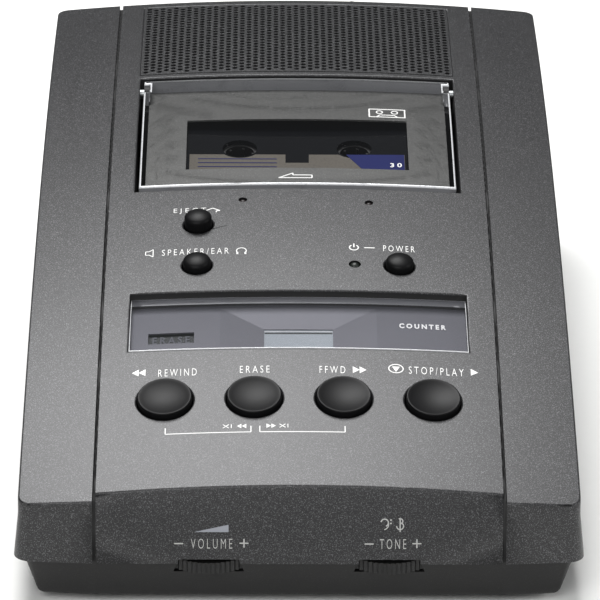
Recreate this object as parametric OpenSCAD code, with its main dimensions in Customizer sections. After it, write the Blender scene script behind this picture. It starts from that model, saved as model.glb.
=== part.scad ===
// Desk-top microcassette dictation machine, modelled as an assembly of separate pieces.
// Millimetres. +X to the operator's right, +Y to the rear, +Z up; the feet stand on z = 0.

/* [Case] */
// Overall width at the lower rim of the upper case
case_w = 115; // [114:0.5:116]
// Overall length at the lower rim of the upper case
case_l = 200; // [199:0.5:201]
// Height of the seam between the two halves of the case
seam_z = 11.6; // [11.4:0.1:12]
// Wall thickness of the upper case
wall = 2.4; // [2.2:0.1:2.6]
// Radius of the domed top
deck_r = 564; // [560:1:568]
// Height of the top of the dome
deck_top = 59; // [58.5:0.1:59.5]
// Distance of the dome's centre behind the middle of the case
deck_y = 90; // [88:0.5:92]
// Plan radius of the case corners at the seam
corner_r = 3.6; // [3:0.1:5]

/* [Panel lines] */
// Half the distance between the two long grooves
groove_x = 41.2; // [41:0.1:42]
// Width of a groove
groove_w = 0.7; // [0.5:0.1:0.9]
// Depth of a groove
groove_d = 0.8; // [0.6:0.1:1]

/* [Cassette lid] */
// Width of the opening for the lid
lid_w = 71; // [70.8:0.1:71.2]
// Length of the opening for the lid
lid_l = 53; // [52.8:0.1:53.2]
// Gap beside the lid
lid_gap = 0.9; // [0.8:0.1:1]

/* [Keys and buttons] */
// Diameter of the four transport keys
key_d = 11.2; // [11:0.1:12]
// How far a key stands above the deck
key_up = 1.2; // [1:0.1:1.5]
// Spacing of the four keys
key_pitch = 18.3; // [18:0.1:18.5]
// Diameter of the three small push buttons
button_d = 5.9; // [5.7:0.1:6.4]
// How far the speaker and power buttons stand above the deck
button_up = 2.2; // [2:0.1:2.6]
// How far the eject button stands above the deck
eject_up = 3; // [2.8:0.1:3.2]

/* [Thumb wheels] */
// Diameter of the volume and tone wheels
wheel_d = 20.4; // [20:0.1:20.6]
// Thickness of a wheel's rim
wheel_t = 2.4; // [2.2:0.1:2.4]
// Distance of each wheel from the middle
wheel_x = 18.2; // [17:0.1:19]

/* [Hidden] */

eps = 0.01;                 // overlap that makes a clean cut
fine = 360;                 // segments of the very large domes
round_fn = 48;              // segments of small round pieces
hull_fn = 32;               // segments of round pieces inside a hull

// Case
deck_zc = deck_top - deck_r;            // height of the dome's centre
half_w = case_w / 2;
half_l = case_l / 2;
foot_h = 1.6;                           // the tray's floor stands this high
flare_top = 21;                         // above this height the walls are nearly upright
flare_in = 1;                           // the flare's inset at that height
wall_top_in = 1.3;                      // inset of the walls at the very top
wall_lean = (wall_top_in - flare_in) / (deck_top + 1 - flare_top);  // inset gained per mm of height
sweep = 0.9;                            // the front corners sweep back by this much
nose_lean_y = 3.7;                      // the middle of the front leans back this far
nose_top_z = 27.5;                      // at this height
nose_angle = atan(nose_lean_y / (nose_top_z - seam_z));
tray_in = 2;                            // inset of the tray below the seam
tray_draft = 2.2;                       // further inset of the tray at its bottom
tray_round = 3;                         // radius along the tray's bottom edge
tray_wall = 2.2;
screw_x = 47;
screw_y = [-82, 86];
foot_x = 37;
foot_y = 84;

// Lid frame: its origin is the middle of the opening, tilted with the deck
lid_y0 = 0;
lid_front_z = deck_height(0, lid_y0);
lid_rear_z = deck_height(0, lid_y0 + lid_l);
lid_tilt = asin((lid_rear_z - lid_front_z) / lid_l);
lid_mid = [0, lid_y0 + lid_l / 2, (lid_front_z + lid_rear_z) / 2];
well_wall = 1.5;                        // thickness of the walls around the lid opening
well_depth = 14.5;
cover_t = 2.6;                          // thickness of the clear cover
cover_front = -24.7;                    // front edge of the cover in the lid frame
cover_rear = 24.8;
cover_x = lid_w / 2 - lid_gap;
cover_skirt = 1.2;
mask_t = 0.4;
hinge_y = 21.4;
hinge_z = -2.4;
hinge_r = 1;
ear_r = 1.7;
window_x = 24.6;
window_y = [-13.6, 9];

// Microcassette, standard outer size
tape_l = 50;
tape_w = 33;
tape_t = 8;
tape_z = -4.5;                          // top face in the lid frame
tape_y = -1;                            // middle in the lid frame
shell_t = 0.9;
hub_x = 12.75;
hub_y = -0.5;
hub_hole_r = 3.9;
spindle_r = 1.5;
opening_x = 16;                         // half width of the cassette's tape opening
holder_z = [-13.7, -4.4];

// Tape transport, in the lid frame
plate_z = -16.2;
plate_t = 1.2;
capstan_xy = [11.5, 12.5];
capstan_r = 1;
roller_r = 3.5;
fly_r = 15;
fly_z = -32.4;
fly_t = 4;
motor_xy = [-22.4, 10.6];
motor_r = 9;
pulley_r = 2.5;
turntable_r = 5.4;
boss_r = 3;                             // flywheel boss that drives the idler
idler_r = 3.6;
rub = 0.05;                             // gap between two rolling faces
plate_screws = [[-30.5, -21], [30.5, -21], [-30.5, 23], [30.5, 23]];
latch_yz = [-30.6, -16.5];              // pivot of the lid latch in the lid frame

// Keys, buttons and boards
key_y = -71.8;
keys_x = [-1.5 * key_pitch, -0.5 * key_pitch, 0.5 * key_pitch, 1.5 * key_pitch];
key_gap = 0.3;
button_x = 21.5;
button_y = -28.7;
eject_xy = [-21.4, -13.8];
lamp_xy = [12, -28.6];
status_xy = [[-11.9, -4.5], [15.4, -5.4]];
board_y = -62;                          // the key board is parallel to the deck here
board_up = -12;                         // and its top lies this far below the deck
board_t = 1.6;
main_z = 6.2;                           // underside of the main board

// Display
display_y0 = -56.8;
display_l = 19.4;
display_x = 35.4;
lens_tip = 4.8;                         // the lens lies this much flatter than the deck
lens_t = 1.8;
lcd_x = 7.2;
lcd_y = [0.7, 9.9];

// Speaker and sockets
speaker_xy = [0, 75.5];
speaker_r = 18.6;
grille_x = 35.6;
grille_y = [54.8, 95.8];
socket_z = 16;
din_z = 19.4;

function deck_height(x, y) = deck_zc + sqrt(deck_r * deck_r - x * x - (y - deck_y) * (y - deck_y));

// ---------- helpers ----------

// The dome of the deck, grown by d
module dome(d = 0) translate([0, deck_y, deck_zc]) sphere(r = deck_r + d, $fn = fine);

// Puts children on the deck at x, y with +Z along the deck's normal
module on_deck(x, y) {
    tip = asin((deck_y - y) / deck_r);
    roll = asin(x / (deck_r * cos(tip)));
    translate([0, deck_y, deck_zc]) rotate([tip, roll, 0]) translate([0, 0, deck_r]) children();
}

// Puts children in the lid frame
module in_lid() translate(lid_mid) rotate([lid_tilt, 0, 0]) children();

// A box from low corner to high corner
module span(lo, hi) translate(lo) cube(hi - lo);

// A box symmetric about x = 0
module slab(x, y0, y1, z0, z1) span([-x, y0, z0], [x, y1, z1]);

// A tube with a bore
module ring(r_out, r_in, h) difference() {
    cylinder(r = r_out, h = h, $fn = round_fn);
    translate([0, 0, -eps]) cylinder(r = r_in, h = h + 2 * eps, $fn = round_fn);
}

// A cylinder along X
module bar_x(r, x0, x1) translate([x0, 0, 0]) rotate([0, 90, 0])
    cylinder(r = r, h = x1 - x0, $fn = round_fn);

// A cylinder along Y
module bar_y(r, y0, y1) translate([0, y0, 0]) rotate([-90, 0, 0])
    cylinder(r = r, h = y1 - y0, $fn = round_fn);

// Thin discs at the corners and front of the case outline, inset by d, at height z
module outline_discs(z, d) {
    r = corner_r - min(d, corner_r - 0.6);
    x = half_w - d - r;
    y = half_l - d - r;
    for (side = [-1, 1]) {
        translate([side * x, y, z]) cylinder(r = r, h = eps, $fn = hull_fn);
        translate([side * x, sweep - y, z]) cylinder(r = r, h = eps, $fn = hull_fn);
        translate([side * groove_x, -y, z]) cylinder(r = r, h = eps, $fn = hull_fn);
    }
}

// The case outline as a drafted solid, inset by in0 at z0 and by in1 at z1
module case_block(z0, z1, in0, in1) hull() {
    outline_discs(z0, in0);
    outline_discs(z1 - eps, in1);
}

// The whole case above the seam, flared at its foot and inset by d
module case_walls(z0, d) {
    case_block(z0, flare_top + 3, d, d + flare_in * (flare_top + 3 - z0) / (flare_top - z0));
    case_block(z0 + 2, deck_top + 1, d + flare_in - wall_lean * (flare_top - z0 - 2), d + wall_top_in);
}

// Everything in front of the leaning middle of the case front, moved back by d
module nose_space(d) translate([0, -half_l + d, seam_z]) rotate([-nose_angle, 0, 0])
    translate([-groove_x, -20, -2]) cube([2 * groove_x, 20, 40]);

module screw_places() for (x = [-screw_x, screw_x], y = screw_y) translate([x, y, 0]) children();

// ---------- case ----------

module upper_outside() difference() {
    intersection() {
        case_walls(seam_z, 0);
        dome();
    }
    nose_space(0);
}

module groove_space() difference() {
    for (side = [-1, 1]) translate([side * groove_x - groove_w / 2, -half_l - 1, seam_z - 1])
        cube([groove_w, case_l + 2, deck_top]);
    intersection() {
        case_walls(seam_z - 2, groove_d);
        dome(-groove_d);
    }
}

// Material that the lid well, the display bay, the speaker seat and the screw posts add inside
module upper_inside() intersection() {
    dome(-eps);
    union() {
        difference() {
            in_lid() slab(lid_w / 2 + well_wall, -lid_l / 2 - well_wall, lid_l / 2 + well_wall,
                -well_depth, 6);
            in_lid() slab(lid_w / 2, -lid_l / 2, lid_l / 2, -well_depth - 1, 7);
        }
        on_deck(0, display_y0) slab(display_x + 1.6, -1.6, display_l + 2, -5.6, 1);
        translate([speaker_xy[0], speaker_xy[1], 48]) ring(speaker_r + 1.6, speaker_r + 0.15, 12);
        translate([speaker_xy[0], speaker_xy[1], 54.8]) ring(speaker_r + 1.6, speaker_r - 1.2, 5);
        screw_places() translate([0, 0, seam_z + 4]) ring(3.6, 1.45, deck_top);
        latch_ears();
    }
}

// Two ears in front of the lid well that hold the latch's pivot
module latch_ears() in_lid() difference() {
    for (side = [-1, 1]) translate([eject_xy[0] + side * 3.9 - 0.7, latch_yz[0] - 3, latch_yz[1] - 2])
        cube([1.4, -lid_l / 2 - 0.6 - latch_yz[0] + 3, 8]);
    translate([eject_xy[0], latch_yz[0], latch_yz[1]]) bar_x(1.25, -6, 6);
}

module upper_case() color([0.29, 0.285, 0.28]) difference() {
    union() {
        difference() {
            upper_outside();
            intersection() {
                case_walls(seam_z - 1, wall);
                dome(-wall);
                difference() {
                    slab(half_w, -half_l, half_l, 0, deck_top);
                    nose_space(wall);
                }
            }
        }
        upper_inside();
    }
    groove_space();
    in_lid() slab(lid_w / 2, -lid_l / 2, lid_l / 2, -well_depth - 1, 6);
    in_lid() translate([0, hinge_y, hinge_z]) bar_x(hinge_r + 0.05, -38, 38);
    in_lid() translate([eject_xy[0] - 2.4, -lid_l / 2 - 3, -12]) cube([4.8, 4, 7]);
    speaker_opening();
    display_space();
    lens_frame() slab(lcd_x + 1.8, 0.15, 4, -9, -1);
    for (x = keys_x) on_deck(x, key_y) hole(key_d / 2 + key_gap);
    for (x = [-button_x, button_x]) on_deck(x, button_y) hole(button_d / 2 + key_gap);
    on_deck(eject_xy[0], eject_xy[1]) hole(button_d / 2 + key_gap);
    on_deck(lamp_xy[0], lamp_xy[1]) hole(1.3);
    for (p = status_xy) on_deck(p[0], p[1]) hole(0.95);
    for (x = [-wheel_x, wheel_x]) wheel_notch(x);
    translate([-30, 0, socket_z]) bar_y(3.1, half_l - 6, half_l + 1);
    translate([30, 0, socket_z]) bar_y(3.6, half_l - 6, half_l + 1);
    translate([0, 0, din_z]) bar_y(7.3, half_l - 6, half_l + 1);
}

module hole(r) translate([0, 0, -7]) cylinder(r = r, h = 9, $fn = round_fn);

// Shallow notch in the front rim above a thumb wheel
module wheel_notch(x) translate([x, -half_l - 1, seam_z - 1]) slab(6.2, 0, 9, 0, 1.9);

// The perforated field takes the deck's wall away but leaves the speaker seat
module speaker_opening() difference() {
    slab(grille_x, grille_y[0], grille_y[1], 50, deck_top + 2);
    dome(-wall);
}

// The lens dome is the deck's dome tipped back about the lens's front edge
module lens_dome(d) translate([0, display_y0, deck_height(0, display_y0)]) rotate([-lens_tip, 0, 0])
    translate([0, -display_y0, -deck_height(0, display_y0)]) dome(d);

module display_prism(grow) on_deck(0, display_y0)
    slab(display_x + grow, -grow, display_l + grow, -8, 4);

module display_space() {
    difference() {
        display_prism(0);
        lens_dome(-lens_t - 0.6);
    }
    display_prism(-2);
}

module lower_case() color([0.15, 0.15, 0.15]) difference() {
    union() {
        difference() {
            tray_outside();
            case_block(foot_h + 2, seam_z + 1, tray_in + tray_draft + tray_wall, tray_in + tray_wall);
        }
        tongue();
        screw_places() translate([0, 0, foot_h + 1])
            cylinder(r = 4.2, h = seam_z + 2.9 - foot_h, $fn = round_fn);
        for (x = [-36, 36], y = [-60, 66]) translate([x, y, foot_h + 1])
            cylinder(r = 2.5, h = main_z - foot_h - 1, $fn = round_fn);
        for (p = plate_screws) plate_post(p);
    }
    for (p = plate_screws) at(p, plate_z - 6) cylinder(r = 1.3, h = 7, $fn = round_fn);
    screw_places() {
        translate([0, 0, -1]) cylinder(r = 1.6, h = 30, $fn = round_fn);
        translate([0, 0, -1]) cylinder(r = 3.1, h = 5.6, $fn = round_fn);
    }
    for (x = [-wheel_x, wheel_x]) translate([x, wheel_cy(), seam_z - wheel_t - 0.8])
        cylinder(r = wheel_d / 2 + 0.5, h = 10, $fn = 96);
    for (x = [-foot_x, foot_x], y = [-foot_y, foot_y]) translate([x, y, foot_h - 1])
        cylinder(r = 5.1, h = 1.6, $fn = round_fn);
}

// Each thumb wheel reaches this close to the front rim
function wheel_cy() = -half_l + 0.7 + wheel_d / 2;

// Upright post whose top lies in the plane of the tape deck's plate
module plate_post(p) intersection() {
    translate([p[0], lid_mid[1] + p[1] * cos(lid_tilt) - plate_z * sin(lid_tilt), foot_h + 1])
        cylinder(r = 3.2, h = 60, $fn = round_fn);
    in_lid() slab(60, -80, 80, -90, plate_z);
}

module tray_outside() hull() {
    for (a = [0:15:90]) outline_discs(foot_h + tray_round * (1 - sin(a)),
        tray_in + tray_draft + 0.7 * tray_round * (1 - cos(a)));
    outline_discs(seam_z - eps, tray_in);
}

// Tongue that locates the tray inside the upper case
module tongue() difference() {
    case_block(seam_z - 2, seam_z + 2.6, wall + 1.4, wall + 1.6);
    case_block(seam_z - 3, seam_z + 3, wall + 2.8, wall + 2.8);
    slab(groove_x + 4, -half_l - 1, -half_l + 14, seam_z - 4, seam_z + 4);
    slab(42, half_l - 12, half_l + 1, seam_z, seam_z + 4);
}

module speaker_grille() color([0.2, 0.2, 0.2]) difference() {
    intersection() {
        slab(grille_x, grille_y[0], grille_y[1], 55, deck_top + 2);
        dome();
    }
    dome(-wall);
    for (i = [0:14], j = [0:6]) translate([(i - 7) * 4.6, 59 + j * 4.9 + (i % 2) * 2.45, 50])
        cylinder(r = 1.6, h = 12, $fn = 16);
}

module case_screws() color([0.6, 0.6, 0.62]) screw_places() {
    translate([0, 0, 2.6]) difference() {
        cylinder(r = 2.8, h = 2, $fn = round_fn);
        for (a = [0, 90]) rotate(a) translate([-2, -0.4, -eps]) cube([4, 0.8, 0.9]);
    }
    translate([0, 0, 4.5]) cylinder(r = 1.4, h = 17.5, $fn = round_fn);
}

module rubber_feet() color([0.1, 0.1, 0.1]) for (x = [-foot_x, foot_x], y = [-foot_y, foot_y])
    translate([x, y, 0]) rotate_extrude($fn = round_fn)
        polygon([[0, 0], [4.2, 0], [5, 0.6], [5, foot_h + 0.6], [0, foot_h + 0.6]]);

// ---------- display and lamps ----------

module display_lens() color([0.35, 0.35, 0.37]) difference() {
    intersection() {
        display_prism(-0.1);
        lens_dome(0);
        dome();
    }
    lens_dome(-lens_t);
}

module display_mask() color([0.42, 0.42, 0.44]) difference() {
    intersection() {
        display_prism(-0.15);
        lens_dome(-lens_t);
    }
    lens_dome(-lens_t - 0.6);
    lens_box(lcd_x, lcd_y[0], lcd_y[1]);
    translate([-26.6, 0, 0]) lens_box(4.8, 5.5, 9.4);
}

// A tall box in the lens's own plane
module lens_box(x, y0, y1) lens_frame() slab(x, y0, y1, -9, 4);

module lens_frame() translate([0, display_y0, deck_height(0, display_y0)])
    rotate([asin((deck_y - display_y0) / deck_r) - lens_tip, 0, 0]) children();

// A box under the lens that stands on the key board
module display_stand(x0, x1, y0, y1, z1) intersection() {
    lens_frame() span([x0, y0, -30], [x1, y1, z1]);
    on_board() slab(60, -60, 60, 0, 40);
}

module lcd_module() color([0.66, 0.69, 0.7]) {
    lens_frame() slab(lcd_x + 1.4, lcd_y[0] - 0.4, lcd_y[1] + 1.4, -4.6, -2.9);
    display_stand(-lcd_x - 0.6, lcd_x + 0.6, lcd_y[0], lcd_y[1] + 0.8, -4.6);
}

module erase_lamp() color([0.25, 0.1, 0.1]) display_stand(-31.6, -21.6, 5.2, 9.8, -4.1);

module power_lamp() color([0.2, 0.3, 0.2]) on_deck(lamp_xy[0], lamp_xy[1]) {
    lamp_lens(1.2);
    translate([0, 0, -10.7]) cylinder(r = 1, h = 7, $fn = round_fn);
}

// Domed lens pushed into its hole from inside
module lamp_lens(r) {
    translate([0, 0, -4.2]) cylinder(r = r, h = 3.2, $fn = round_fn);
    translate([0, 0, -1]) sphere(r = r, $fn = round_fn);
    translate([0, 0, -4.2]) cylinder(r = r + 0.5, h = 1.75, $fn = round_fn);
}

module status_lamps() color([0.2, 0.1, 0.1]) for (p = status_xy) on_deck(p[0], p[1]) lamp_lens(0.85);

// ---------- boards ----------

module on_board() on_deck(0, board_y) translate([0, 0, board_up]) children();

module key_board() color([0.1, 0.35, 0.2]) on_board() slab(38.5, -19, 38, -board_t, 0);

// One tactile switch stands under each key and under the two board-mounted buttons
module key_switches() color([0.1, 0.1, 0.1]) {
    for (x = keys_x) switch_at(x, key_y);
    for (x = [-button_x, button_x]) switch_at(x, button_y);
}

module switch_at(x, y) intersection() {
    on_board() slab(60, -60, 60, 0, 1.5);
    on_deck(x, y) union() {
        translate([-3, -3, board_up - 3]) cube([6, 6, 3.9]);
        translate([0, 0, board_up - 3]) cylinder(r = 1.7, h = 6, $fn = round_fn);
    }
}

module main_board() color([0.1, 0.35, 0.2]) difference() {
    slab(42, -74, 84, main_z, main_z + board_t);
    for (p = plate_screws) translate([0, 0, main_z - 1]) linear_extrude(board_t + 2)
        translate([p[0], lid_mid[1] + p[1] * cos(lid_tilt) - plate_z * sin(lid_tilt)])
            circle(r = 3.6, $fn = round_fn);
}

module board_chips() color([0.08, 0.08, 0.08]) translate([0, 0, main_z + board_t]) {
    for (p = [[-20, -40, 14, 14], [14, -44, 18, 7.6], [16, -20, 14, 10], [-22, -8, 10, 6.4]])
        translate([p[0] - p[2] / 2, p[1] - p[3] / 2, 0]) cube([p[2], p[3], 2.2]);
}

module capacitors() color([0.12, 0.16, 0.3]) translate([0, 0, main_z + board_t])
    for (p = [[30, -50, 5, 12], [30, -36, 4, 11], [-32, -30, 4, 11], [24, 61, 5, 13], [14, 60, 4, 11],
            [-14, 58, 3.2, 8]])
        translate([p[0], p[1], 0]) cylinder(r = p[2], h = p[3], $fn = round_fn);

// Rotary potentiometers below the thumb wheels, on a tab of the tray's floor
module potentiometers() color([0.35, 0.3, 0.2]) for (x = [-wheel_x, wheel_x])
    translate([x, wheel_cy(), 0]) difference() {
        translate([0, 0, foot_h + 2])
            cylinder(r = 4.2, h = seam_z - wheel_t - foot_h - 3.2, $fn = round_fn);
        translate([0, 0, foot_h + 3]) cylinder(r = 2.05, h = 12, $fn = round_fn);
    }

// Flat cable from the key board down to the main board, folded once
module ribbon_cable() color([0.75, 0.75, 0.72]) rotate([90, 0, 90]) translate([0, 0, -10])
    linear_extrude(20) polygon([[-50, main_z + board_t], [-49.6, main_z + board_t], [-46.6, 17],
        [-49.6, 27.4], [-50, 27.3], [-47, 17]]);

// ---------- speaker ----------

module at_speaker() translate([speaker_xy[0], speaker_xy[1], 0]) children();

module speaker_frame() color([0.45, 0.45, 0.47]) at_speaker() rotate_extrude($fn = 72)
    polygon([[8.4, 44], [13, 44], [17.6, 52.8], [speaker_r, 52.8], [speaker_r, 54.8], [16.2, 54.8],
        [16.2, 53.4], [12.2, 45.2], [8.4, 45.2]]);

module speaker_cone() color([0.12, 0.12, 0.12]) at_speaker() rotate_extrude($fn = 72)
    polygon([[0, 49.6], [4.5, 48.6], [6, 46.8], [15.8, 53.9], [15.8, 54.6], [6.2, 47.9], [4.8, 49.6],
        [0, 50.4]]);

module speaker_magnet() color([0.3, 0.3, 0.32]) at_speaker() {
    translate([0, 0, 37.6]) cylinder(r = 9.6, h = 5.4, $fn = 72);
    translate([0, 0, 43]) cylinder(r = 12, h = 1, $fn = 72);
}

// ---------- tape transport ----------

module at(p, z = 0) in_lid() translate([p[0], p[1], z]) children();

module deck_plate() color([0.6, 0.61, 0.63]) difference() {
    in_lid() slab(34, -24, 26.5, plate_z, plate_z + plate_t);
    for (x = [-hub_x, hub_x]) at([x, hub_y], plate_z - 1) cylinder(r = 1.6, h = 4, $fn = round_fn);
    at(capstan_xy, plate_z - 1) cylinder(r = 2.6, h = 4, $fn = round_fn);
    for (p = plate_screws) at(p, plate_z - 1) cylinder(r = 1.3, h = 4, $fn = round_fn);
}

module deck_screws() color([0.7, 0.7, 0.72]) for (p = plate_screws) {
    at(p, plate_z - 5) cylinder(r = 1.25, h = 5 + plate_t, $fn = round_fn);
    at(p, plate_z + plate_t) difference() {
        cylinder(r = 2.3, h = 1.4, $fn = round_fn);
        translate([-1.8, -0.3, 0.6]) cube([3.6, 0.6, 2]);
    }
}

// The motor hangs under the plate with its shaft pointing down
module motor() color([0.55, 0.56, 0.58]) at(motor_xy, plate_z - 12) difference() {
    cylinder(r = motor_r, h = 12, $fn = 72);
    translate([0, 0, -1]) cylinder(r = 1.05, h = 7, $fn = round_fn);
}

module motor_pulley() color([0.8, 0.66, 0.3]) {
    at(motor_xy, fly_z + 0.4) rotate_extrude($fn = round_fn)
        polygon([[0, 0], [3.2, 0], [3.2, 0.6], [pulley_r, 1], [pulley_r, 2.4], [3.2, 2.8], [3.2, 3.2],
            [0, 3.2]]);
    at(motor_xy, fly_z + 3) cylinder(r = 1, h = 6, $fn = round_fn);
}

module flywheel_bearing() color([0.8, 0.68, 0.35]) at(capstan_xy, plate_z - 1.4)
    ring(2.55, capstan_r + 0.05, plate_t + 2.6);

module flywheel() color([0.62, 0.62, 0.64]) at(capstan_xy, fly_z) difference() {
    rotate_extrude($fn = 96) polygon([[0, 0], [fly_r, 0], [fly_r, 0.8], [fly_r - 0.5, 1.2],
        [fly_r - 0.5, 2.8], [fly_r, 3.2], [fly_r, fly_t], [10, fly_t], [9, 2.6], [5, 2.6],
        [boss_r, fly_t], [boss_r, 14.6], [0, 14.6]]);
    translate([0, 0, -1]) cylinder(r = capstan_r, h = 20, $fn = round_fn);
}

module capstan() color([0.8, 0.8, 0.82]) at(capstan_xy, fly_z)
    cylinder(r = capstan_r, h = -6.6 - fly_z, $fn = round_fn);

// Flat loop that stands clear of both grooves
module drive_belt() color([0.1, 0.1, 0.1]) in_lid() translate([0, 0, fly_z + 1.5])
    linear_extrude(1) difference() {
        belt_loop(0.75);
        belt_loop(0.1);
    }

module belt_loop(d) hull() {
    translate(capstan_xy) circle(r = fly_r - 0.5 + d, $fn = 96);
    translate(motor_xy) circle(r = pulley_r + d, $fn = round_fn);
}

module spindle(x) at([x, hub_y], plate_z - 2.6) {
    cylinder(r = turntable_r, h = 2.2, $fn = 72);
    cylinder(r = spindle_r, h = 8, $fn = round_fn);
    translate([0, 0, 8 - eps]) cylinder(r1 = spindle_r, r2 = 0.7, h = 0.8, $fn = round_fn);
    for (a = [0:120:240]) rotate(a) translate([0, -0.3, 6.2]) cube([1.9, 0.6, 1.4]);
}

module supply_spindle() color([0.85, 0.85, 0.82]) spindle(-hub_x);
module takeup_spindle() color([0.85, 0.85, 0.82]) spindle(hub_x);

// The idler rolls on the flywheel's boss and on the take-up turntable
function idler_xy() = let (
    d = [hub_x - capstan_xy[0], hub_y - capstan_xy[1]],
    len = norm(d),
    r1 = boss_r + idler_r + rub,
    r2 = turntable_r + idler_r + rub,
    a = (r1 * r1 - r2 * r2 + len * len) / (2 * len),
    h = sqrt(r1 * r1 - a * a),
    u = d / len) [capstan_xy[0] + a * u[0] + h * u[1], capstan_xy[1] + a * u[1] - h * u[0]];

module idler_wheel() color([0.12, 0.12, 0.12]) {
    at(idler_xy(), plate_z - 2.5) cylinder(r = idler_r, h = 2, $fn = 72);
    at(idler_xy(), plate_z - 3.2) cylinder(r = 1.2, h = 2.9, $fn = round_fn);
}

module head_plate() color([0.66, 0.67, 0.69]) {
    difference() {
        in_lid() slab(18, 17, 25.5, plate_z + plate_t + 0.05, plate_z + plate_t + 1.05);
        at([capstan_xy[0], capstan_xy[1] + 3], -16) cylinder(r = 2.9, h = 4, $fn = round_fn);
    }
    in_lid() slab(3.8, 19, 20.2, plate_z + plate_t + 0.5, -10.8);
    in_lid() span([-9.6, 19, plate_z + plate_t + 0.5], [-6.4, 20.2, -10.4]);
    at([capstan_xy[0], 20.2], plate_z + plate_t + 0.5) cylinder(r = 1.5, h = 3.4, $fn = round_fn);
    at([capstan_xy[0], 20.2], plate_z + plate_t + 0.5) cylinder(r = 0.8, h = 8.4, $fn = round_fn);
}

module tape_head() color([0.75, 0.75, 0.76]) intersection() {
    in_lid() slab(3.8, 16, 20.2, -10.8, -6.3);
    at([0, 22], -12) cylinder(r = 6, h = 8, $fn = 72);
}

module erase_head() color([0.3, 0.3, 0.32]) in_lid() span([-9.6, 16.4, -10.4], [-6.4, 20.2, -6.6]);

module pinch_roller() color([0.1, 0.1, 0.1]) at([capstan_xy[0], 20.2], -10.6) ring(roller_r, 0.85, 4);

// ---------- lid and cassette ----------

module cover_box(grow, z0) in_lid() slab(cover_x + grow, cover_front - grow, cover_rear + grow, z0, 6);

// Open places beside the two hinge ears
module ear_space() for (side = [-1, 1]) in_lid() translate([side * 37, hinge_y, hinge_z])
    slab(3.8, -2, 2, -6, 8);

module lid_cover() color([0.85, 0.88, 0.9, 0.4]) difference() {
    intersection() {
        cover_box(0, holder_z[1]);
        dome();
    }
    intersection() {
        cover_box(-cover_skirt, holder_z[1] - 1);
        dome(-cover_t);
    }
    ear_space();
}

module lid_mask() color([0.42, 0.42, 0.43]) difference() {
    intersection() {
        cover_box(-cover_skirt - 0.05, -8);
        dome(-cover_t);
    }
    dome(-cover_t - mask_t);
    in_lid() slab(window_x, window_y[0], window_y[1], -12, 4);
}

module cassette_holder() color([0.13, 0.13, 0.14]) difference() {
    union() {
        intersection() {
            in_lid() union() {
                slab(27, -19.4, 17.2, holder_z[0], holder_z[1]);
                slab(33, -24.4, 19.4, holder_z[1] - 1.4, holder_z[1]);
            }
            dome(-cover_t - mask_t - 0.05);
        }
        in_lid() translate([eject_xy[0], 0, 0]) {
            slab(1.8, -26, -19, -9.6, -8);
            slab(1.8, -22, -19, -9.6, -5);
        }
        for (side = [-1, 1]) in_lid() translate([side * 33.4, hinge_y, hinge_z]) {
            slab(1.1, -5, ear_r, -3.4, -2);
            bar_x(ear_r, side > 0 ? -0.1 : -1.1, side > 0 ? 1.1 : 0.1);
            translate([side * 0.5, 0, 0]) slab(0.6, -ear_r, ear_r, -2.4, 0);
        }
    }
    in_lid() slab(tape_l / 2 + 0.15, tape_y - tape_w / 2 - 0.15, 30, tape_z - tape_t, 2);
    in_lid() slab(20, -12, 18, -15, -10);
    in_lid() translate([0, hinge_y, hinge_z]) bar_x(hinge_r, -38, 38);
}

module lid_hinge_pins() color([0.8, 0.8, 0.82]) for (side = [-1, 1])
    in_lid() translate([side * 35, hinge_y, hinge_z]) bar_x(hinge_r, -1.8, 1.8);

module lid_latch() color([0.14, 0.14, 0.15]) in_lid()
    translate([eject_xy[0], latch_yz[0], latch_yz[1]]) {
        bar_x(2, -3, 3);
        bar_x(1.2, -4.8, 4.8);
        slab(2, 0.4, 2, 0, 10.1);
        slab(2, 0.4, 3.95, 8.7, 10.1);
        slab(2, -11.4, 0, 0.8, 2.3);
    }

// Rounded box of the cassette between two heights
module cassette_block(z0, z1, grow) in_lid() translate([0, tape_y, z0]) linear_extrude(z1 - z0)
    rounded(tape_l / 2 + grow, tape_w / 2 + grow, 1.5);

module rounded(x, y, r) {
    square([2 * x, 2 * (y - r)], center = true);
    square([2 * (x - r), 2 * y], center = true);
    for (i = [-1, 1], j = [-1, 1]) translate([i * (x - r), j * (y - r)]) circle(r = r, $fn = round_fn);
}

// The cassette's shell, before it is split along its middle
module cassette_shell() difference() {
    cassette_block(tape_z - tape_t, tape_z, 0);
    cassette_block(tape_z - tape_t + shell_t, tape_z - shell_t, -shell_t);
    for (x = [-hub_x, hub_x]) at([x, hub_y], -20) cylinder(r = hub_hole_r, h = 30, $fn = round_fn);
    in_lid() slab(opening_x, 14, 17, tape_z - tape_t + shell_t, tape_z - shell_t);
    for (x = [-capstan_xy[0], capstan_xy[0]]) in_lid() translate([x, 0, 0])
        slab(1.7, capstan_xy[1] - 1.7, 17, -13, -8);
}

module cassette_bottom() color([0.09, 0.09, 0.13]) intersection() {
    cassette_shell();
    in_lid() slab(30, -30, 30, -20, tape_z - tape_t / 2);
}

module cassette_top() color([0.09, 0.09, 0.13]) intersection() {
    cassette_shell();
    in_lid() slab(30, -30, 30, tape_z - tape_t / 2, 0);
}

module cassette_label() color([0.85, 0.85, 0.8]) in_lid() difference() {
    slab(23.9, -16.4, -3.4, tape_z, tape_z + 0.12);
    slab(2.6, -7.2, 0, tape_z - 1, tape_z + 1);
    for (x = [-hub_x, hub_x]) translate([x, hub_y, tape_z - 1])
        cylinder(r = hub_hole_r + 0.6, h = 3, $fn = round_fn);
}

module hub(x) at([x, hub_y], tape_z - tape_t + 1.1) {
    ring(5, 3.2, 5.8);
    for (a = [15:60:315]) rotate(a) translate([2.75, -0.3, 0.5]) cube([0.8, 0.6, 4.8]);
}

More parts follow.
